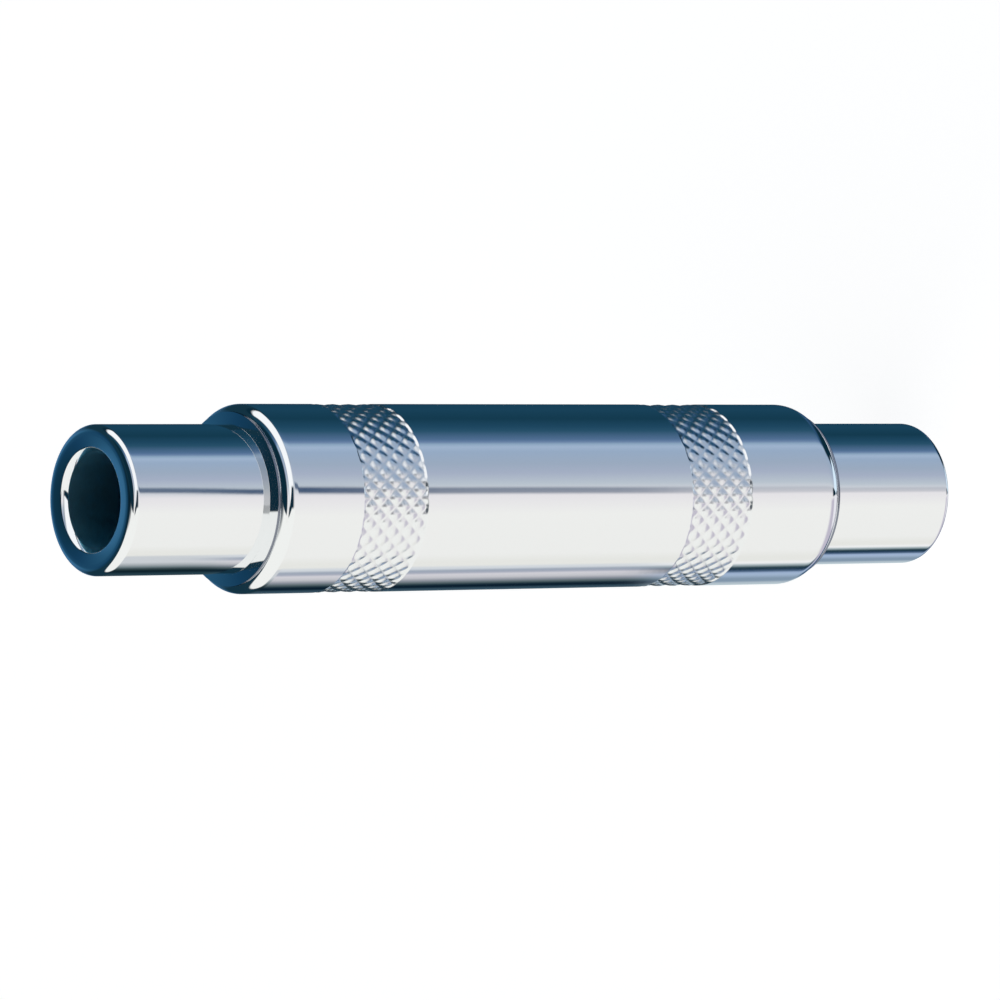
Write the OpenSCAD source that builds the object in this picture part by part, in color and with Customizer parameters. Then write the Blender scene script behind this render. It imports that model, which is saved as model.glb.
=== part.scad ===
// Inline coupler for two 6.35 mm stereo jack plugs, standing on one end.
// The axis is Z. The origin is the centre of the lower socket's end face.

/* [Barrel] */
// Outside diameter of the barrel
barrel_d = 12.7; // [12.4:0.1:16]
// Wall of the barrel
barrel_wall = 1.05; // [0.8:0.05:1.5]
// Rounding of the barrel's two end edges
barrel_edge_r = 0.85; // [0.3:0.05:0.9]

/* [Knurl] */
// From the barrel's upper end to the upper knurled band
knurl_start_a = 6.5; // [2:0.1:9]
// From the barrel's lower end to the lower knurled band
knurl_start_b = 8.2; // [2:0.1:9]
// Height of one diamond along the barrel
knurl_pitch = 1.33; // [1:0.01:1.7]
// Diamonds side by side along the barrel in one band
knurl_rows = 4; // [2:1:5]
// Diamonds around the barrel
knurl_count = 34; // [24:1:44]
// Depth of the grooves between the diamonds
knurl_depth = 0.2; // [0.1:0.05:0.4]

/* [Nose] */
// Outside diameter of each socket nose
nose_d = 10; // [9.6:0.1:10.6]
// From each nose's end face to its flange
nose_len = 11; // [9:0.1:13]
// Rounding of the nose's outer edge
nose_edge_r = 0.55; // [0.1:0.05:0.8]
// Socket bore for the plug's 6.35 mm sleeve
bore_d = 6.5; // [6.4:0.05:6.7]
// How much the mouth of the bore widens, on each side
mouth_flare = 0.3; // [0.1:0.05:0.6]
// Length of that widening
mouth_depth = 0.5; // [0.1:0.05:0.8]
// How far the flange laps over the rim of the barrel's mouth
flange_lap = 0.55; // [0.1:0.05:0.8]
// Thickness of that flange
flange_t = 0.25; // [0.2:0.05:0.8]
// From the nose's end face to the rear end of its threaded spigot
spigot_depth = 17.6; // [17:0.1:18.2]

/* [Contacts] */
// From the end face to the contact point on the plug's ring
ring_point = 22.3; // [21.6:0.1:23.4]
// From the end face to the contact point on the plug's tip
tip_point = 27.3; // [26.4:0.1:28]
// Distance of both contact points from the axis at rest
contact_reach = 2.6; // [2.3:0.05:2.9]
// Width of a leaf contact
leaf_w = 2; // [1.4:0.1:2.6]
// Thickness of a leaf contact
leaf_t = 0.3; // [0.2:0.05:0.45]
// From the outside of the carrier in to the middle of a contact tail
tail_inset = 0.9; // [0.7:0.05:1.1]

/* [Insulation] */
// How much wider the carriers are bored than the socket, on each side
carrier_relief = 0.2; // [0.1:0.05:0.3]
// From the end face to the front of the rear disc, past the plug's tip
disc_depth = 31.5; // [31.2:0.1:32]
// Thickness of the rear disc
disc_t = 1.5; // [1:0.1:1.6]
// Wall of the insulating liner
liner_wall = 0.25; // [0.15:0.05:0.3]
// Thickness of the ground lug
lug_t = 0.4; // [0.3:0.05:0.6]
// Width of the ground lug's tail
lug_tail_w = 1.6; // [1:0.1:2.2]

/* [Links] */
// Diameter of the link wires
wire_d = 0.8; // [0.5:0.05:1]
// Wall of the sleeving over the tip and ring links
sleeving_wall = 0.2; // [0.15:0.05:0.3]
// How far the contact tails stand out of the rear disc
tail_out = 1.2; // [0.8:0.1:1.4]
// Room between the two rear discs for the links
link_room = 4.6; // [4.2:0.1:24]

/* [Fits] */
// Radial gap between the spigot and the barrel's bore
screw_gap = 0.05; // [0.03:0.01:0.1]
// Radial gap between the liner and the barrel's bore
liner_gap = 0.05; // [0.03:0.01:0.1]
// Radial gap between the carriers and the liner
carrier_gap = 0.1; // [0.05:0.01:0.2]
// Gap between the front end of a leaf and the end of its window
window_end_gap = 0.7; // [0.3:0.1:1]
// Gap on each side of a leaf in its window
window_gap = 0.25; // [0.15:0.05:0.4]
// Gap around a tail where it passes the rear disc
tail_gap = 0.25; // [0.22:0.01:0.3]
// Gap around a tail in its solder joint
solder_gap = 0.08; // [0.06:0.01:0.12]

/* [Hidden] */
$fn = 96;
eps = 0.01;

chrome = [0.80, 0.82, 0.84];
spring_metal = [0.78, 0.72, 0.60];
black_plastic = [0.05, 0.05, 0.06];

// The two sockets and the room between them set the length of the whole
carrier_front = spigot_depth + lug_t;
disc_back = disc_depth + disc_t;
tail_end = disc_back + tail_out;
total_len = 2 * disc_back + link_room;

// The barrel stands on the lower nose's flange and carries the upper one
barrel_z = nose_len + flange_t;
barrel_len = total_len - 2 * barrel_z;

// From the barrel inwards: bore, liner, carrier, socket
barrel_bore_d = barrel_d - 2 * barrel_wall;
flange_d = barrel_bore_d + 2 * flange_lap;
carrier_d = barrel_bore_d - 2 * (liner_gap + liner_wall + carrier_gap);
carrier_bore_d = bore_d + 2 * carrier_relief;

// The knurled bands are whole diamonds wide
knurl_w = knurl_pitch * knurl_rows;
knurl_z = [knurl_start_b, barrel_len - knurl_start_a - knurl_w];
knurl_crest_r = barrel_d / 2 - 0.02;
knurl_floor_r = barrel_d / 2 - knurl_depth - 0.15;
knurl_seat_r = knurl_floor_r - 0.15;
knurl_lap = 0.08;

// A collar on the carrier plugs into a counterbore in the nose's spigot, with a gap past its end
lug_ring_w = 0.7;
lug_inner_d = carrier_d - 2 * lug_ring_w;
collar_d = lug_inner_d - 0.2;
collar_len = 2.5;
collar_gap = 0.05;
end_gap = 0.2;
window_w = leaf_w + 2 * window_gap;

// The inner face of a leaf's tail, and where the leaf starts to lean inwards
tail_in = carrier_d / 2 - tail_inset - leaf_t / 2;
lean_start = disc_depth - 0.4;
lead_rise = 0.9;
lead_run = 1.9;
point_half = 0.35;
point_back_half = 0.2;

// The lug's tail runs in a groove along the carrier
lug_tail_y = lug_inner_d / 2 + 0.1;
groove_w = lug_tail_w + 0.4;
groove_floor = lug_tail_y - 0.1;

// Solder joints: clear of the disc, their least wall, the web between a tail and its wire, and their lap
joint_lift = 0.25;
joint_wall = 0.15;
joint_web = 0.1;
joint_lap = 0.4;

// The link wires lie beside the inner faces of the tails, and stop short of the discs
wire_end_gap = 0.3;
sleeving_gap = 0.02;
sleeving_end_gap = 0.1;
link_x = tail_in - solder_gap - wire_d / 2 - joint_web;
link_half = total_len / 2 - disc_back - wire_end_gap;
ground_link_y = lug_tail_y - wire_d / 2 - joint_web;
solder_len = tail_out - joint_lap;

// Places a shape made for the lower end at the lower or the upper end
module at_end(upper) {
    if (upper) translate([0, 0, total_len]) mirror([0, 0, 1]) children();
    else children();
}

// Rounded bar section, from the axis outwards
module rounded_section(r, len, edge) {
    translate([0, edge]) square([r, len - 2 * edge]);
    square([r - edge, len]);
    for (z = [edge, len - edge]) translate([r - edge, z]) circle(r = edge, $fn = 48);
}

// Crests and valleys alternate around and along the band
function knurl_r(i, j) = (i + j) % 2 == 0 ? barrel_d / 2 - knurl_depth : knurl_crest_r;

// One ring of diamonds as a closed band, its lower edge at z = 0
module knurl_band() {
    around = 2 * knurl_count;
    steps = 2 * knurl_rows;
    step_z = knurl_w / steps;
    outer = [for (j = [0 : steps]) for (i = [0 : around - 1])
        let (a = 360 * i / around, r = knurl_r(i, j)) [r * cos(a), r * sin(a), j * step_z]];
    inner = [for (j = [0, steps]) for (i = [0 : around - 1])
        let (a = 360 * i / around) [knurl_seat_r * cos(a), knurl_seat_r * sin(a), j * step_z]];
    low = around * (steps + 1);
    high = low + around;
    top = around * steps;
    // Each square of the lattice is split between its two valley corners
    skin = [for (j = [0 : steps - 1]) for (i = [0 : around - 1])
        let (n = (i + 1) % around, p = j * around + i, q = j * around + n, s = p + around, t = q + around)
        each ((i + j) % 2 == 0 ? [[p, t, q], [p, s, t]] : [[p, s, q], [q, s, t]])];
    wall = [for (i = [0 : around - 1]) let (n = (i + 1) % around)
        each [[low + i, low + n, high + n], [low + i, high + n, high + i]]];
    rims = [for (i = [0 : around - 1]) let (n = (i + 1) % around)
        each [[low + i, i, n], [low + i, n, low + n],
              [high + i, high + n, top + n], [high + i, top + n, top + i]]];
    polyhedron(points = concat(outer, inner), faces = concat(skin, wall, rims));
}

module barrel() {
    color(chrome) translate([0, 0, barrel_z]) {
        difference() {
            rotate_extrude() rounded_section(barrel_d / 2, barrel_len, barrel_edge_r);
            translate([0, 0, -1]) cylinder(d = barrel_bore_d, h = barrel_len + 2);
            for (z = knurl_z)
                translate([0, 0, z + knurl_lap]) difference() {
                    cylinder(d = barrel_d + 2, h = knurl_w - 2 * knurl_lap);
                    translate([0, 0, -1]) cylinder(r = knurl_floor_r, h = knurl_w + 2);
                }
        }
        for (z = knurl_z)
            translate([0, 0, z]) knurl_band();
    }
}

module liner() {
    r = barrel_bore_d / 2 - liner_gap;
    color("ivory") translate([0, 0, spigot_depth + end_gap]) difference() {
        cylinder(r = r, h = total_len - 2 * (spigot_depth + end_gap));
        translate([0, 0, -1]) cylinder(r = r - liner_wall, h = total_len);
    }
}

module nose() {
    color(chrome) difference() {
        union() {
            rotate_extrude() {
                square([nose_d / 2 - nose_edge_r, nose_len + eps]);
                translate([0, nose_edge_r]) square([nose_d / 2, nose_len + eps - nose_edge_r]);
                translate([nose_d / 2 - nose_edge_r, nose_edge_r]) circle(r = nose_edge_r, $fn = 48);
            }
            translate([0, 0, nose_len]) cylinder(d = flange_d, h = flange_t);
            translate([0, 0, nose_len])
                cylinder(r = barrel_bore_d / 2 - screw_gap, h = spigot_depth - nose_len);
        }
        translate([0, 0, -1]) cylinder(d = bore_d, h = spigot_depth + 2);
        translate([0, 0, -eps])
            cylinder(d1 = bore_d + 2 * mouth_flare, d2 = bore_d, h = mouth_depth + eps);
        translate([0, 0, spigot_depth - collar_len - end_gap])
            cylinder(d = collar_d + 2 * collar_gap, h = collar_len + 2);
    }
}

module ground_lug() {
    color(spring_metal) translate([0, 0, spigot_depth]) {
        difference() {
            cylinder(d = carrier_d, h = lug_t);
            translate([0, 0, -1]) cylinder(d = lug_inner_d, h = lug_t + 2);
        }
        translate([-lug_tail_w / 2, lug_tail_y, 0]) cube([lug_tail_w, lug_t, tail_end - spigot_depth]);
    }
}

module leaf_window(point) {
    translate([2, -window_w / 2, point - lead_run - window_end_gap]) cube([carrier_d, window_w, total_len]);
}

module carrier() {
    color(black_plastic) difference() {
        union() {
            translate([0, 0, spigot_depth - collar_len])
                cylinder(d = collar_d, h = disc_depth - spigot_depth);
            translate([0, 0, carrier_front]) cylinder(d = carrier_d, h = disc_depth - carrier_front);
        }
        cylinder(d = carrier_bore_d, h = total_len);
        // One window on each side lets a leaf reach the plug and move outwards
        leaf_window(ring_point);
        mirror([1, 0, 0]) leaf_window(tip_point);
        translate([-groove_w / 2, groove_floor, spigot_depth]) cube([groove_w, carrier_d, total_len]);
    }
}

// A leaf in the plane of X and Z: tail, leaning arm, rounded contact point and lead-in
module leaf(point) {
    outer = tail_in + leaf_t;
    color(spring_metal) rotate([90, 0, 0]) translate([0, 0, -leaf_w / 2]) linear_extrude(leaf_w)
        polygon([
            [tail_in, tail_end], [tail_in, lean_start],
            [contact_reach, point + point_half], [contact_reach, point - point_half],
            [contact_reach + lead_rise, point - lead_run],
            [contact_reach + lead_rise + leaf_t, point - lead_run + 0.1],
            [contact_reach + leaf_t, point - point_back_half],
            [contact_reach + leaf_t, point + point_back_half],
            [outer, lean_start - 0.1], [outer, tail_end]]);
}

module ring_contact() { leaf(ring_point); }
module tip_contact() { mirror([1, 0, 0]) leaf(tip_point); }

module rear_disc() {
    color(black_plastic) translate([0, 0, disc_depth]) difference() {
        cylinder(d = carrier_d, h = disc_t);
        for (side = [0, 1]) mirror([side, 0, 0])
            translate([tail_in - tail_gap, -window_w / 2, -1])
                cube([leaf_t + 2 * tail_gap, window_w, disc_t + 2]);
        translate([-groove_w / 2, groove_floor, -1]) cube([groove_w, carrier_d, disc_t + 2]);
    }
}

// A solder joint wraps the tail's end and holds the link wire
module leaf_joint() {
    w = leaf_w + 2 * joint_lap;
    inner = link_x - wire_d / 2 - joint_wall;
    outer = tail_in + leaf_t + joint_lap;
    difference() {
        translate([inner, -w / 2, disc_back + joint_lift]) cube([outer - inner, w, solder_len]);
        translate([tail_in - solder_gap, -leaf_w / 2 - solder_gap, disc_back])
            cube([leaf_t + 2 * solder_gap, leaf_w + 2 * solder_gap, tail_out + 1]);
        translate([link_x, 0, disc_back]) cylinder(d = wire_d, h = tail_out + 1, $fn = 32);
    }
}

module solder_joints() {
    color("silver") {
        leaf_joint();
        mirror([1, 0, 0]) leaf_joint();
        difference() {
            translate([-lug_tail_w / 2, lug_tail_y - wire_d - joint_web - joint_wall, disc_back + joint_lift])
                cube([lug_tail_w, wire_d + joint_web + joint_wall, solder_len]);
            translate([0, ground_link_y, disc_back]) cylinder(d = wire_d, h = tail_out + 1, $fn = 32);
        }
    }
}

// Straight link wire between the two sockets
module link_wire(x, y) {
    translate([x, y, total_len / 2 - link_half]) cylinder(d = wire_d, h = 2 * link_half, $fn = 32);
}

module tip_wire() { color("indianred") link_wire(-link_x, 0); }
module ring_wire() { color("white") link_wire(link_x, 0); }
module ground_wire() { color("silver") link_wire(0, ground_link_y); }

// Sleeving over the bare middle of a link
module sleeving(x) {
    half = total_len / 2 - tail_end - sleeving_end_gap;
    bore = wire_d + 2 * sleeving_gap;
    translate([x, 0, total_len / 2 - half]) difference() {
        cylinder(d = bore + 2 * sleeving_wall, h = 2 * half, $fn = 32);
        translate([0, 0, -1]) cylinder(d = bore, h = 2 * half + 2, $fn = 32);
    }
}

module tip_sleeving() { color("dimgray") sleeving(-link_x); }
module ring_sleeving() { color("dimgray") sleeving(link_x); }

module nose_a() { at_end(true) nose(); }
module nose_b() { at_end(false) nose(); }
module ground_lug_a() { at_end(true) ground_lug(); }
module ground_lug_b() { at_end(false) ground_lug(); }
module carrier_a() { at_end(true) carrier(); }
module carrier_b() { at_end(false) carrier(); }
module tip_contact_a() { at_end(true) tip_contact(); }
module tip_contact_b() { at_end(false) tip_contact(); }
module ring_contact_a() { at_end(true) ring_contact(); }
module ring_contact_b() { at_end(false) ring_contact(); }
module rear_disc_a() { at_end(true) rear_disc(); }
module rear_disc_b() { at_end(false) rear_disc(); }
module solder_joints_a() { at_end(true) solder_joints(); }
module solder_joints_b() { at_end(false) solder_joints(); }

barrel();
liner();
nose_a();
nose_b();
ground_lug_a();
ground_lug_b();
carrier_a();
carrier_b();
tip_contact_a();
tip_contact_b();
ring_contact_a();
ring_contact_b();
rear_disc_a();
rear_disc_b();
solder_joints_a();
solder_joints_b();
tip_wire();
ring_wire();
ground_wire();
tip_sleeving();
ring_sleeving();
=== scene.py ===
"""Looks of the inline jack coupler: plated barrel with knurled bands, socket noses, and the parts inside."""
import math

import bpy
import numpy as np
from mathutils import Matrix, Vector


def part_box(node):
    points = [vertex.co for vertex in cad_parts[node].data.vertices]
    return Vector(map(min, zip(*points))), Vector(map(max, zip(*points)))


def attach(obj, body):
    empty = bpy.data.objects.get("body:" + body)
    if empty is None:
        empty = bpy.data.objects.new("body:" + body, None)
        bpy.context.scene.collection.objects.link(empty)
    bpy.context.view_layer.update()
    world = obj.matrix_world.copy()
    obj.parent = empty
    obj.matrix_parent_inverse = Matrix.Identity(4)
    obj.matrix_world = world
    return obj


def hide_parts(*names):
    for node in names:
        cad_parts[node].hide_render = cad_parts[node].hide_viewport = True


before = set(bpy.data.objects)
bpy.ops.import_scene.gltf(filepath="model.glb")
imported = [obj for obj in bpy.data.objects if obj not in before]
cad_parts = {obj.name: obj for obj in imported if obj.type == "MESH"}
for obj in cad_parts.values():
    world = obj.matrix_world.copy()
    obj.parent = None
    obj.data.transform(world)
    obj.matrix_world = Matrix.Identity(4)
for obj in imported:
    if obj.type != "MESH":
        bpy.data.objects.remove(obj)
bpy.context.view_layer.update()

MM = 0.001
SHELL = "shell"

# Sizes are in millimetres and as in the part's source; what is finer than there says so
BARREL_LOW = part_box("barrel")[0][2] / MM
BARREL_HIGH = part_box("barrel")[1][2] / MM
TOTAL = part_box("nose_a")[1][2] / MM
SPIGOT_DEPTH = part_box("nose_b")[1][2] / MM

# Barrel; the rounding of its lower end is longer along the axis than in the source
BARREL_R = 6.35
BARREL_EDGE = 0.85
LOWER_EDGE = 1.2
BORE_R = 5.3

# Knurled bands; the grooves are shallower than in the source, and the bands lie a hair lower than the barrel
KNURL_START_A = 6.5
KNURL_START_B = 8.2
KNURL_PITCH = 1.33
KNURL_ROWS = 4
KNURL_COUNT = 34
KNURL_W = KNURL_PITCH * KNURL_ROWS
KNURL_DEPTH = 0.09
KNURL_DROP = 0.01
CREST_ROUND = 1.7
BAND_FADE = 0.12
BAND_STARTS = (BARREL_LOW + KNURL_START_B, BARREL_HIGH - KNURL_START_A - KNURL_W)

# Noses; the mouth's round edge, the dished end face and the flange's slope are finer than in the source
NOSE_R = 5.0
NOSE_EDGE = 0.55
SOCKET_R = 3.25
FLARE = 0.3
FLARE_DEPTH = 0.5
MOUTH_ROUND = 0.12
DISH_R = 4.25
DISH_DEPTH = 0.07
DISH_LIP = 0.06
FLANGE_R = 5.85
FLANGE_T = 0.25
FLANGE_SLOPE = 0.074
RIM_ROUND = 0.03
SCREW_GAP = 0.05
COUNTERBORE_R = 4.15
COUNTERBORE_DEPTH = 2.7

# How finely the outlines are cut: steps along roundings, and the degrees of a quarter that they cover
EDGE_STEPS = 12
EDGE_SWEEP = 84
LOWER_STEPS = 14
MOUTH_STEPS = 8
RIM_STEPS = 4
RIM_SWEEP = 70
NOSE_SEGMENTS = 320
# Segments round each diamond and rings along it, and the rings beside a band
KNURL_ROUND = 16
KNURL_STEPS = 14
BAND_MARGIN = 0.6
BAND_LIP = 0.03
MARGIN_RINGS = 4
# Points this far from an edge keep its shading crisp, and the last tells which points belong to a surface
REST = 0.3
COARSE = 0.05
BEVEL = 0.03
FINE = 0.02
CORNER_REST = 0.012
CORNER = 0.002
SLACK = 0.005

# Camera: the photograph looks at the upper socket, with the adapter's axis lying across the picture
FOCAL_PX = 6832
FRAME_PX = 1000
SENSOR_MM = 36
NEAREST_M = 0.01
AXIS_IN_VIEW = Vector((0.7943, -0.0072, 0.6074)).normalized()
UP_IN_VIEW = Vector((0, -1, 0))
MOUTH_PX = (89.3, 500.3)
MOUTH_AWAY = 448.1


def add_camera():
    data = bpy.data.cameras.new("camera")
    data.lens = SENSOR_MM * FOCAL_PX / FRAME_PX
    data.sensor_width = SENSOR_MM
    data.clip_start = NEAREST_M
    cam = bpy.data.objects.new("camera", data)
    bpy.context.scene.collection.objects.link(cam)
    # Rows are the world axes as the camera sees them: x right, y down, z forward
    world_z = -AXIS_IN_VIEW
    world_x = (UP_IN_VIEW - world_z * world_z.dot(UP_IN_VIEW)).normalized()
    world_y = world_z.cross(world_x)
    seen = Matrix((world_x, world_y, world_z))
    right, down, forward = seen.col[0], seen.col[1], seen.col[2]
    across, along = ((px - FRAME_PX / 2) / FOCAL_PX for px in MOUTH_PX)
    mouth = right * across + down * along + forward
    place = Vector((0, 0, TOTAL)) - mouth * MOUTH_AWAY
    turn = Matrix((right, -down, -forward)).transposed().to_4x4()
    cam.matrix_world = Matrix.Translation(place * MM) @ turn
    bpy.context.scene.camera = cam


# Small helpers for node trees
class Tree:
    """The nodes of a material or of the world."""

    def __init__(self, owner):
        owner.use_nodes = True
        self.tree = owner.node_tree
        self.tree.nodes.clear()

    def add(self, kind, **settings):
        node = self.tree.nodes.new(kind)
        for key, value in settings.items():
            setattr(node, key, value)
        return node

    def link(self, source, target):
        self.tree.links.new(source, target)

    def put(self, value, socket):
        """Sets a socket to a number or a colour, or links another socket to it."""
        if isinstance(value, tuple):
            socket.default_value = (*value, 1)
        elif isinstance(value, (int, float)):
            socket.default_value = value
        else:
            self.link(value, socket)

    def math(self, operation, a, b=None, clamp=False):
        node = self.add("ShaderNodeMath", operation=operation, use_clamp=clamp)
        self.put(a, node.inputs[0])
        if b is not None:
            self.put(b, node.inputs[1])
        return node.outputs[0]

    def plus(self, a, b):
        return self.math("ADD", a, b)

    def minus(self, a, b):
        return self.math("SUBTRACT", a, b)

    def times(self, a, b, clamp=False):
        return self.math("MULTIPLY", a, b, clamp)

    def rise(self, value, start, width):
        """Nought up to the start, one from a width further on."""
        return self.math("DIVIDE", self.minus(value, start), width, clamp=True)

    def ramp(self, value, stops):
        """A colour for a value from nought to one, from stops of value and linear colour."""
        node = self.add("ShaderNodeValToRGB")
        elements = node.color_ramp.elements
        while len(elements) > 1:
            elements.remove(elements[-1])
        elements[0].position = stops[0][0]
        elements[0].color = (*stops[0][1], 1)
        for place, colour in stops[1:]:
            elements.new(place).color = (*colour, 1)
        self.link(value, node.inputs[0])
        return node.outputs[0]

    def mix(self, factor, a, b):
        """Colour a where the factor is nought, b where it is one."""
        node = self.add("ShaderNodeMix", data_type="RGBA")
        self.put(factor, node.inputs[0])
        self.put(a, node.inputs[6])
        self.put(b, node.inputs[7])
        return node.outputs[2]


def linear(value):
    """The linear value of an 8-bit screen value."""
    value = value / 255
    return value / 12.92 if value <= 0.04045 else ((value + 0.055) / 1.055) ** 2.4


# The studio as the plating mirrors it, in a few round colours: stripes by the angle round the adapter's
# axis, in degrees. A height is that of the mirrored direction, -1 straight down
MIRROR_GAIN = 1.06
PAPER = [(-87, (230, 230, 225)), (-75, (237, 237, 234)), (-21, (238, 238, 235)), (2, (229, 226, 229))]
WALL = [
    (16, (185, 195, 205)), (30, (165, 175, 195)), (42, (155, 170, 190)), (58, (150, 170, 195)),
    (65, (160, 180, 205)), (69, (140, 165, 190)), (72, (105, 130, 165)), (76, (80, 110, 145)),
    (90, (40, 80, 105)), (98, (30, 70, 95)), (114, (20, 58, 78)), (140, (25, 65, 88)), (180, (20, 58, 80)),
]
NOSE_SIDE = [
    (-180, (50, 75, 90)), (-153, (35, 60, 70)), (-140, (10, 30, 40)), (-135, (25, 45, 50)),
    (-129, (60, 75, 80)), (-124, (110, 125, 130)), (-110, (202, 206, 210)),
]
MIDDLE_SIDE = [
    (-180, (80, 105, 120)), (-153, (40, 65, 80)), (-147, (10, 30, 45)), (-142, (10, 30, 45)),
    (-137, (35, 55, 65)), (-131, (90, 105, 110)), (-125, (140, 145, 155)), (-118, (195, 195, 200)),
    (-111, (210, 208, 214)), (-107, (165, 170, 185)), (-103, (155, 165, 180)), (-99, (210, 215, 220)),
]
RIGHT_SIDE = [
    (-180, (190, 205, 210)), (-154, (175, 190, 200)), (-145, (130, 150, 170)), (-136, (130, 150, 170)),
    (-125, (160, 180, 205)), (-120, (155, 175, 205)), (-116, (75, 100, 130)), (-111, (25, 50, 70)),
    (-107, (45, 70, 80)), (-102, (165, 180, 185)), (-98, (240, 240, 240)),
]
# What is behind, by height
BACK = [
    (0.25, (60, 110, 150)), (0.42, (50, 100, 135)), (0.5, (35, 80, 110)), (0.6, (20, 60, 90)),
    (0.69, (15, 50, 70)), (0.86, (10, 35, 50)), (1.0, (10, 30, 40)),
]
BACK_SIDES = (20, 50, 65)
DARK = (10, 40, 55)
WHITE_CARD = (240, 241, 238)
SOFT_BOX = (246, 248, 250)
BELOW = (215, 235, 250)
BELOW_PAPER_SIDE = (230, 230, 235)
BELOW_BACK = (45, 80, 115)
PAPER_BELOW = (190, 185, 200)

# The line where the floor ends: its angle and its strength, each by height. A ramp holds values up to one,
# so the angle goes in as a share of the widest
HORIZON_LINE = (40, 70, 105)
HORIZON = [
    (-0.66, 6.2), (-0.63, 6.4), (-0.61, 8.2), (-0.598, 8.4), (-0.578, 11.0), (-0.57, 14.2), (-0.5, 17.0),
]
HORIZON_WIDEST = 20
HORIZON_STRENGTH = [
    (-0.66, 0.25), (-0.632, 0.25), (-0.6245, 0.65), (-0.6, 0.68), (-0.589, 0.93), (-0.583, 1.0),
    (-0.5795, 1.0), (-0.576, 0.82), (-0.56, 0.82),
]
LINE_HALF = 2.1
LINE_FADE = 3.4

# Parts of the studio: from, to and the softness of both edges, for angles, heights or another part of a
# direction. The first two limits lie beyond every height and every angle
OPEN = 2
ROUND = 200
MIDDLE_HEIGHTS = (-0.626, OPEN, 0.003)
NOSE_HEIGHTS = (-0.574, OPEN, 0.002)
FRONT_ANGLES = (-95, ROUND, 2)
UPPER_HEIGHTS = (-0.5, OPEN, 0.03)
BACK_ANGLES = (158, ROUND, 8)
DARK_ANGLES = (-125, 128, 1.5)
LOW_GAP = ((-20, 40, 2), (-OPEN, -0.3, 0.12))
CARD_ANGLES = (-125, 0, 1.5)
BOX = ((-90, 120, 2), (-OPEN, 0.4, 0.04))
HIGH_WALLS = ((-30, 128, 2), (0.42, 0.66, 0.04))
PAPER_SIDE_LOW = ((-150, -8, 3), (-OPEN, -0.78, 0.06))
PAPER_SIDE_ANGLES = (-135, 0, 3)
FAR_Y = (-0.2, OPEN, 0.03)
FAR_HEIGHTS = (-OPEN, -0.7, 0.02)
DARK_LOW = ((62, ROUND, 5), (-OPEN, -0.78, 0.04))
BELOW_HEIGHTS = (-OPEN, -0.95, 0.01)
WALL_SIDE_X = (0, OPEN, 0.02)
CAMERA_SPOT = ((-4, 11, 1.5), (-OPEN, -0.87, 0.03))

# The dark gap between card and box: how fast it changes with height, its turn, its half width and its edges
GAP_CLIMB = 2.8
GAP_TURN = 17
GAP_HALF = 6
CARD_FROM_GAP = 3
BOX_FROM_GAP = 6
GAP_FADE = 3
# The card's top edge sinks towards the gap
CARD_CORNER = 4
CARD_SLOPE = 0.06
CARD_SHARP = 12
# The box's lower edge is higher and sharper further round
BOX_TURN_START = 45
BOX_TURN_WIDTH = 40
BOX_LOW = -0.46
BOX_LOW_RISE = 0.04
BOX_SOFT = 0.2
BOX_SOFT_LOSS = 0.14


def tint(colour):
    return tuple(linear(c) * MIRROR_GAIN for c in colour)


def grey(value):
    return (value, value, value)


class Studio(Tree):
    """The world's nodes, with the parts of a direction: x, y, its height, and its angle round the axis."""

    def __init__(self, world):
        super().__init__(world)
        split = self.add("ShaderNodeSeparateXYZ")
        self.link(self.add("ShaderNodeTexCoord").outputs["Generated"], split.inputs[0])
        self.x, self.y, self.height = split.outputs
        turn = self.math("ARCTAN2", self.x, self.times(self.y, -1))
        self.angle = self.times(turn, 180 / math.pi)

    def stripes(self, stops):
        """Colours by angle, from stops of angle and screen colour."""
        turn = self.plus(self.math("DIVIDE", self.angle, 360), 0.5)
        return self.ramp(turn, [((a + 180) / 360, tint(c)) for a, c in stops])

    def by_height(self, stops):
        """Linear colours by height, from stops of height and linear colour."""
        level = self.plus(self.times(self.height, 0.5), 0.5)
        return self.ramp(level, [(0.5 + h / 2, c) for h, c in stops])

    def within(self, value, low, high, soft):
        """One between two limits, nought beyond them, with soft edges."""
        fall = self.math("DIVIDE", self.minus(high + soft, value), 2 * soft, clamp=True)
        return self.times(self.rise(value, low - soft, 2 * soft), fall)

    def region(self, angles, heights):
        """One between two angles and two heights."""
        return self.times(self.within(self.angle, *angles), self.within(self.height, *heights))


def side_studio(t):
    """What the long sides mirror: heights of -0.67 at the adapter's right end to -0.55 at its left."""
    lit = t.mix(t.within(t.height, *MIDDLE_HEIGHTS), t.stripes(RIGHT_SIDE), t.stripes(MIDDLE_SIDE))
    lit = t.mix(t.within(t.height, *NOSE_HEIGHTS), lit, t.stripes(NOSE_SIDE))
    lit = t.mix(t.within(t.angle, *FRONT_ANGLES), lit, t.stripes(PAPER + WALL))
    share = t.by_height([(h, grey(a / HORIZON_WIDEST)) for h, a in HORIZON])
    away = t.math("ABSOLUTE", t.minus(t.angle, t.times(share, HORIZON_WIDEST)))
    near_line = t.minus(1, t.rise(away, LINE_HALF, LINE_FADE))
    strength = t.by_height([(h, grey(s)) for h, s in HORIZON_STRENGTH])
    return t.mix(t.times(near_line, strength), lit, tint(HORIZON_LINE))


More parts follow.
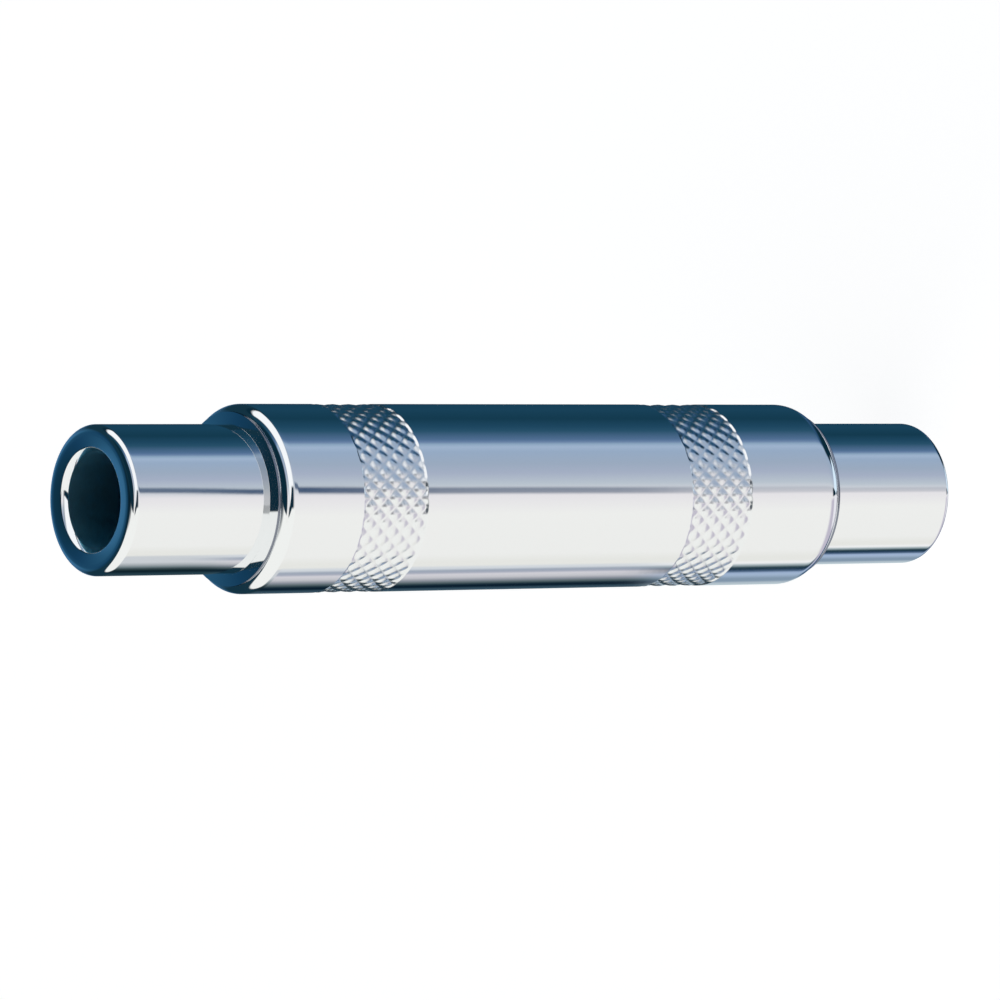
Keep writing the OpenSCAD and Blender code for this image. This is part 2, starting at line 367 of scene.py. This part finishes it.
def upper_studio(t):
    """Higher up: white card on one side, a soft box on the other, dark between and behind."""
    walls = t.stripes(PAPER + WALL)
    back = t.by_height([(h, tint(c)) for h, c in BACK])
    back = t.mix(t.within(t.math("ABSOLUTE", t.angle), *BACK_ANGLES), tint(BACK_SIDES), back)
    lit = t.mix(t.within(t.angle, *DARK_ANGLES), back, tint(DARK))
    lit = t.mix(t.region(*LOW_GAP), lit, walls)
    # The dark gap is narrower and further over the higher it is
    climb = t.times(t.height, GAP_CLIMB, clamp=True)
    shifted = t.plus(t.angle, t.times(climb, GAP_TURN))
    gap = t.times(t.minus(1, climb), GAP_HALF)
    card_side = t.rise(t.times(t.plus(shifted, gap), -1), CARD_FROM_GAP, GAP_FADE)
    box_side = t.rise(t.minus(shifted, gap), BOX_FROM_GAP, GAP_FADE)

    card_top = t.times(t.minus(CARD_CORNER, t.angle), CARD_SLOPE, clamp=True)
    below_top = t.times(t.minus(card_top, t.height), CARD_SHARP, clamp=True)
    card = t.times(t.times(t.within(t.angle, *CARD_ANGLES), card_side), below_top)
    lit = t.mix(card, lit, tint(WHITE_CARD))

    further = t.rise(t.angle, BOX_TURN_START, BOX_TURN_WIDTH)
    soft = t.minus(BOX_SOFT, t.times(further, BOX_SOFT_LOSS))
    low = t.plus(t.times(further, BOX_LOW_RISE), BOX_LOW)
    above_low = t.rise(t.height, low, soft)
    box = t.times(box_side, t.region(*BOX))
    lit = t.mix(t.times(box, above_low), lit, tint(SOFT_BOX))
    # Between the sides' own directions and the box the walls go on
    lit = t.mix(t.times(box, t.minus(1, above_low)), lit, walls)
    # Above both, the walls once more: the nose mirrors them by way of the flange
    return t.mix(t.region(*HIGH_WALLS), lit, walls)


def add_lower_studio(t, lit):
    """Lower down: white paper on one side, pale straight below, dark behind and where the camera stands."""
    lit = t.mix(t.region(*PAPER_SIDE_LOW), lit, tint(PAPER_BELOW))
    far = t.minus(1, t.within(t.angle, *PAPER_SIDE_ANGLES))
    far = t.times(far, t.within(t.y, *FAR_Y))
    lit = t.mix(t.times(far, t.within(t.height, *FAR_HEIGHTS)), lit, tint(BELOW_BACK))
    lit = t.mix(t.region(*DARK_LOW), lit, tint(DARK))
    below = t.mix(t.within(t.x, *WALL_SIDE_X), tint(BELOW_PAPER_SIDE), tint(BELOW))
    lit = t.mix(t.within(t.height, *BELOW_HEIGHTS), lit, below)
    return t.mix(t.region(*CAMERA_SPOT), lit, tint(DARK))


def add_world():
    """The studio for what the plating mirrors, plain white for the camera itself."""
    world = bpy.data.worlds.new("studio")
    bpy.context.scene.world = world
    t = Studio(world)
    lit = t.mix(t.within(t.height, *UPPER_HEIGHTS), side_studio(t), upper_studio(t))
    room = t.add("ShaderNodeBackground")
    t.put(add_lower_studio(t, lit), room.inputs[0])
    seen = t.add("ShaderNodeBackground")
    t.put(grey(1), seen.inputs[0])
    pick = t.add("ShaderNodeMixShader")
    t.link(t.add("ShaderNodeLightPath").outputs["Is Camera Ray"], pick.inputs[0])
    t.link(room.outputs[0], pick.inputs[1])
    t.link(seen.outputs[0], pick.inputs[2])
    t.link(pick.outputs[0], t.add("ShaderNodeOutputWorld").inputs[0])


# Floor
FLOOR_HALF_M = 3.0
FLOOR_GREY = 0.30
FLOOR_GLOW = 0.90


def floor_paper():
    """Pale paper, brought up to white by a glow for the camera alone."""
    mat = bpy.data.materials.new("floor_paper")
    t = Tree(mat)
    paper = t.add("ShaderNodeBsdfDiffuse")
    t.put(grey(FLOOR_GREY), paper.inputs[0])
    glow = t.add("ShaderNodeEmission")
    t.put(grey(FLOOR_GLOW), glow.inputs[0])
    t.link(t.add("ShaderNodeLightPath").outputs["Is Camera Ray"], glow.inputs[1])
    both = t.add("ShaderNodeAddShader")
    t.link(paper.outputs[0], both.inputs[0])
    t.link(glow.outputs[0], both.inputs[1])
    t.link(both.outputs[0], t.add("ShaderNodeOutputMaterial").inputs[0])
    return mat


def add_floor():
    """A floor that takes the adapter's shadow; the plating mirrors the studio in its place."""
    half = FLOOR_HALF_M
    corners = [(-half, -half, 0), (half, -half, 0), (half, half, 0), (-half, half, 0)]
    mesh = bpy.data.meshes.new("floor")
    mesh.from_pydata(corners, [], [(0, 1, 2, 3)])
    mesh.materials.append(floor_paper())
    floor = bpy.data.objects.new("floor", mesh)
    bpy.context.scene.collection.objects.link(floor)
    floor.visible_glossy = False


# Materials
CHROME = (0.93, 0.94, 0.95)


def principled(name, colour, metallic=0.0):
    mat = bpy.data.materials.new(name)
    t = Tree(mat)
    bsdf = t.add("ShaderNodeBsdfPrincipled")
    t.put(colour, bsdf.inputs["Base Color"])
    t.put(metallic, bsdf.inputs["Metallic"])
    t.link(bsdf.outputs[0], t.add("ShaderNodeOutputMaterial").inputs[0])
    return mat, t, bsdf


def noise(t, scale, detail, stretch=(1, 1, 1)):
    """Noise fixed to the object; a stretch below one draws it out along that axis."""
    shape = t.add("ShaderNodeMapping")
    shape.inputs["Scale"].default_value = stretch
    t.link(t.add("ShaderNodeTexCoord").outputs["Object"], shape.inputs[0])
    tex = t.add("ShaderNodeTexNoise")
    t.put(scale, tex.inputs["Scale"])
    t.put(detail, tex.inputs["Detail"])
    t.link(shape.outputs[0], tex.inputs[0])
    return tex.outputs[0]


def roughen(t, bsdf, grain, low, high):
    """Lets the roughness wander between two values."""
    spread = t.add("ShaderNodeMapRange")
    t.put(grain, spread.inputs[0])
    t.put(low, spread.inputs[3])
    t.put(high, spread.inputs[4])
    t.link(spread.outputs[0], bsdf.inputs["Roughness"])


def emboss(t, bsdf, grain, strength, depth_m):
    bump = t.add("ShaderNodeBump")
    t.put(strength, bump.inputs["Strength"])
    t.put(depth_m, bump.inputs["Distance"])
    t.link(grain, bump.inputs["Height"])
    t.link(bump.outputs[0], bsdf.inputs["Normal"])


def metal(name, colour, rough, scale, detail, stretch=(1, 1, 1)):
    mat, t, bsdf = principled(name, colour, metallic=1.0)
    roughen(t, bsdf, noise(t, scale, detail, stretch), *rough)
    return mat


def plating():
    """Bright plating with the slightest haze and ripple."""
    mat, t, bsdf = principled("chrome_plating", CHROME, metallic=1.0)
    roughen(t, bsdf, noise(t, scale=260, detail=4), 0.03, 0.07)
    emboss(t, bsdf, noise(t, scale=900, detail=2), strength=0.02, depth_m=0.00002)
    return mat


def rolled_plating():
    """The knurled bands, left a little dull by the rolling."""
    return metal("knurl_plating", CHROME, rough=(0.15, 0.25), scale=420, detail=4)


def rim_plating_painted_shade():
    """The rim of the flange that closes the barrel's mouth, darker than the rest: its dark colour is painted
    shade, standing in for the dark seam between flange and barrel.
    """
    # Painted shade: the rim's dark blue-grey colour stands in for the shade in the seam
    return metal("flange_plating_painted_shade", (0.25, 0.27, 0.33), rough=(0.1, 0.18), scale=500, detail=3)


def bore_plating_painted_blue():
    """The bore, drilled and thinly plated; its strong blue tint is painted light, standing in for the bluish
    light mirrored deep inside the bore.
    """
    # Painted light: this blue colour stands in for the bluish light the bore mirrors
    colour = (0.36, 0.82, 1.0)
    return metal("bore_plating_painted_blue", colour, rough=(0.27, 0.42), scale=700, detail=4, stretch=(1, 1, 0.2))


def spring_bronze():
    """Contacts and lugs, with a grain along the strip."""
    colour = (0.78, 0.72, 0.60)
    return metal("spring_bronze", colour, rough=(0.14, 0.34), scale=2500, detail=3, stretch=(1, 1, 0.06))


def solder():
    """Solder and tinned wire."""
    return metal("solder", (0.72, 0.73, 0.74), rough=(0.22, 0.5), scale=1500, detail=4)


def moulded(name, colour, low, high):
    """Moulded plastic or rubber, its grain both in its sheen and in relief."""
    mat, t, bsdf = principled(name, colour)
    grain = noise(t, scale=3200, detail=4)
    roughen(t, bsdf, grain, low, high)
    emboss(t, bsdf, grain, strength=0.12, depth_m=0.00003)
    return mat


def paper_board():
    """Brown laminate of the rear discs, with its fibres across."""
    mat, t, bsdf = principled("paper_laminate", (0.38, 0.20, 0.09))
    t.put(0.55, bsdf.inputs["Roughness"])
    fibre = noise(t, scale=1800, detail=6, stretch=(1, 0.2, 1))
    t.link(t.mix(fibre, (0.30, 0.15, 0.06), (0.46, 0.26, 0.12)), bsdf.inputs["Base Color"])
    return mat


# Meshes
def arc(centre, radius, start, end, steps):
    """Points on an arc in the plane of radius and height, angles in degrees from the outward direction."""
    return [(centre[0] + radius * math.cos(a), centre[1] + radius * math.sin(a))
            for a in np.radians(np.linspace(start, end, steps + 1))]


def tangent_arc(p1, a1, p2, a2, radius, steps):
    """A rounded corner inside two lines, each given by a point and its outward direction in degrees."""
    n1 = (math.cos(math.radians(a1)), math.sin(math.radians(a1)))
    n2 = (math.cos(math.radians(a2)), math.sin(math.radians(a2)))
    d1 = p1[0] * n1[0] + p1[1] * n1[1] - radius
    d2 = p2[0] * n2[0] + p2[1] * n2[1] - radius
    cross = n1[0] * n2[1] - n1[1] * n2[0]
    centre = ((d1 * n2[1] - d2 * n1[1]) / cross, (d2 * n1[0] - d1 * n2[0]) / cross)
    return arc(centre, radius, a1, a2, steps)


def lathe(name, outline, segments, materials, coat, shape=None):
    """A closed outline of (radius, height) in millimetres, turned round the Z axis.

    The function called coat gives a material's number for a point of the outline, and the lower number wins
    between two points. The function called shape gives new radii for all points."""
    angles = np.arange(segments) * 2 * math.pi / segments
    profile = np.array(outline)
    r = np.repeat(profile[:, :1], segments, axis=1)
    z = np.repeat(profile[:, 1:], segments, axis=1)
    if shape is not None:
        r = shape(r, z, angles)
    verts = np.stack([r * np.cos(angles), r * np.sin(angles), z], axis=-1).reshape(-1, 3) * MM
    faces = []
    kinds = []
    for i, point in enumerate(outline):
        following = (i + 1) % len(outline)
        a, b = i * segments, following * segments
        kinds += [min(coat(*point), coat(*outline[following]))] * segments
        for k in range(segments):
            n = (k + 1) % segments
            faces.append((a + k, a + n, b + n, b + k))
    mesh = bpy.data.meshes.new(name)
    mesh.from_pydata([tuple(v) for v in verts], [], faces)
    for material in materials:
        mesh.materials.append(material)
    mesh.shade_smooth()
    mesh.validate()
    mesh.polygons.foreach_set("material_index", kinds)
    piece = bpy.data.objects.new(name, mesh)
    bpy.context.scene.collection.objects.link(piece)
    return piece


def dress(piece, node):
    """The piece stands for a plated node of the shell."""
    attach(piece, SHELL)
    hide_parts(node)


# Barrel
def smoothstep(x):
    x = np.clip(x, 0, 1)
    return x * x * (3 - 2 * x)


def knurl(r, z, angles):
    """Two crossing families of grooves, rolled into the outside of the bands."""
    out = r.copy()
    around = angles * KNURL_COUNT / (2 * math.pi)
    for start in BAND_STARTS:
        stop = start + KNURL_W
        along = (z - start) / KNURL_PITCH
        ridges = 1
        for sign in (1, -1):
            phase = around + sign * along
            groove = np.abs(2 * (phase % 1.0) - 1)
            ridges = ridges * (1 - groove ** CREST_ROUND)
        depth = (1 - ridges) * KNURL_DEPTH
        inside = smoothstep((z - start) / BAND_FADE) * smoothstep((stop - z) / BAND_FADE)
        outer = (r > BARREL_R - SLACK) & (z > start - SLACK) & (z < stop + SLACK)
        out = np.where(outer, r - (KNURL_DROP + depth) * inside, out)
    return out


def barrel_coat(radius, height):
    """Knurled bands 1, all else 0."""
    in_band = any(start - SLACK < height < start + KNURL_W + SLACK for start in BAND_STARTS)
    return 1 if in_band and radius > BARREL_R - SLACK else 0


def barrel_outline():
    low, high, edge = BARREL_LOW, BARREL_HIGH, BARREL_EDGE
    shoulder = BARREL_R - edge
    outline = [(BORE_R, low), (BORE_R + FINE, low), (shoulder, low)]
    for r, z in arc((0, 0), 1, -EDGE_SWEEP, 0, LOWER_STEPS):
        outline.append((shoulder + edge * r, low + LOWER_EDGE * (1 + z)))
    heights = [low + LOWER_EDGE + REST]
    for start in BAND_STARTS:
        stop = start + KNURL_W
        heights += list(np.linspace(start - BAND_MARGIN, start - BAND_LIP, MARGIN_RINGS))
        heights += list(np.linspace(start, stop, KNURL_ROWS * KNURL_STEPS + 1))
        heights += list(np.linspace(stop + BAND_LIP, stop + BAND_MARGIN, MARGIN_RINGS))
    heights.append(high - edge - REST)
    outline += [(BARREL_R, h) for h in heights]
    outline += arc((shoulder, high - edge), edge, 0, EDGE_SWEEP, EDGE_STEPS)
    outline += [(shoulder, high), (BORE_R + FINE, high), (BORE_R, high)]
    outline += [(BORE_R, high - COARSE), (BORE_R, low + COARSE)]
    return outline


def add_barrel(chrome):
    coats = [chrome, rolled_plating()]
    segments = KNURL_COUNT * KNURL_ROUND
    barrel = lathe("knurled_barrel", barrel_outline(), segments, coats, barrel_coat, shape=knurl)
    dress(barrel, "barrel")


# Noses: outlines of the lower one, whose end face lies at height 0
def mouth_outline():
    """From the bore over its widened mouth to the end face."""
    lean = math.degrees(math.atan2(FLARE, FLARE_DEPTH))
    dish = math.degrees(math.atan2(DISH_DEPTH, DISH_R - SOCKET_R - FLARE))
    outline = [(SOCKET_R, FLARE_DEPTH + 3 * FINE), (SOCKET_R, FLARE_DEPTH + FINE)]
    outline.append((SOCKET_R + FINE / 2, FLARE_DEPTH - FINE))
    flare, ring = (SOCKET_R, FLARE_DEPTH), (DISH_R, 0)
    outline += tangent_arc(flare, 180 + lean, ring, 270 - dish, MOUTH_ROUND, MOUTH_STEPS)
    outline += [(DISH_R - 2 * FINE, DISH_DEPTH * DISH_LIP), (DISH_R + 2 * FINE, 0)]
    return outline


def side_outline(stand):
    """From the end face over its rounded edge, along the side and into the tight corner at the flange."""
    outline = [(NOSE_R - NOSE_EDGE - BEVEL, 0)]
    outline += arc((NOSE_R - NOSE_EDGE, NOSE_EDGE), NOSE_EDGE, -90, 0, EDGE_STEPS)
    outline += [(NOSE_R, NOSE_EDGE + 2 * COARSE), (NOSE_R, stand - 2 * COARSE)]
    outline += [(NOSE_R, stand - CORNER_REST), (NOSE_R, stand - CORNER)]
    outline += [(NOSE_R + CORNER, stand), (NOSE_R + CORNER_REST, stand + CORNER / 2)]
    return outline


def flange_outline(stand):
    """Along the flange's sloping face, over its rim and back along the barrel's end."""
    rim, face, back = FLANGE_R - RIM_ROUND, stand + FLANGE_SLOPE, stand + FLANGE_T
    outline = [(FLANGE_R - 2 * RIM_ROUND, face - RIM_ROUND / 10), (rim, face)]
    outline += arc((rim, face + RIM_ROUND), RIM_ROUND, -RIM_SWEEP, 0, RIM_STEPS)
    outline += [(FLANGE_R, face + COARSE), (FLANGE_R, back), (FLANGE_R - FINE, back)]
    return outline


def spigot_outline(stand):
    """The spigot inside the barrel, with the counterbore that takes the carrier's collar."""
    spigot_r, back = BORE_R - SCREW_GAP, stand + FLANGE_T
    shelf = SPIGOT_DEPTH - COUNTERBORE_DEPTH
    outline = [(spigot_r, back), (spigot_r, back + COARSE)]
    outline += [(spigot_r, SPIGOT_DEPTH - COARSE), (spigot_r - COARSE, SPIGOT_DEPTH)]
    outline += [(COUNTERBORE_R + COARSE, SPIGOT_DEPTH), (COUNTERBORE_R, SPIGOT_DEPTH - COARSE)]
    outline += [(COUNTERBORE_R, shelf), (SOCKET_R + BEVEL, shelf), (SOCKET_R, shelf - COARSE)]
    return outline


def nose_outline(stand):
    return mouth_outline() + side_outline(stand) + flange_outline(stand) + spigot_outline(stand)


def flipped(outline):
    """The same outline for the upper end, still turned the same way round."""
    return [(r, TOTAL - z) for r, z in reversed(outline)]


def nose_coat(radius, height):
    """Bore 1, the flange's rim 2, all else 0."""
    if radius < SOCKET_R + SLACK:
        return 1
    return 2 if radius > FLANGE_R - RIM_ROUND + SLACK else 0


def add_noses(chrome):
    coats = [chrome, bore_plating_painted_blue(), rim_plating_painted_shade()]
    lower = nose_outline(BARREL_LOW - FLANGE_T)
    upper = flipped(nose_outline(TOTAL - BARREL_HIGH - FLANGE_T))
    dress(lathe("socket_nose_b", lower, NOSE_SEGMENTS, coats, nose_coat), "nose_b")
    dress(lathe("socket_nose_a", upper, NOSE_SEGMENTS, coats, nose_coat), "nose_a")


# Inner parts: their solids stay, with materials of their own
def paint(material, *nodes):
    for node in nodes:
        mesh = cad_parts[node].data
        mesh.materials.clear()
        mesh.materials.append(material)


def paint_inside():
    bronze = spring_bronze()
    black = moulded("black_nylon", (0.012, 0.012, 0.014), 0.28, 0.5)
    board = paper_board()
    tin = solder()
    for end in ("a", "b"):
        paint(black, "carrier_" + end)
        paint(board, "rear_disc_" + end)
        paint(bronze, "ground_lug_" + end, "tip_contact_" + end, "ring_contact_" + end)
        paint(tin, "solder_joints_" + end)
    paint(tin, "tip_wire", "ring_wire", "ground_wire")
    paint(moulded("ivory_tube", (0.72, 0.68, 0.56), 0.4, 0.6), "liner")
    paint(moulded("red_sleeving", (0.45, 0.03, 0.02), 0.35, 0.5), "tip_sleeving")
    paint(moulded("white_sleeving", (0.74, 0.74, 0.72), 0.35, 0.5), "ring_sleeving")


add_camera()
add_world()
add_floor()
plated = plating()
add_barrel(plated)
add_noses(plated)
paint_inside()
bpy.context.scene.view_settings.view_transform = "Standard"
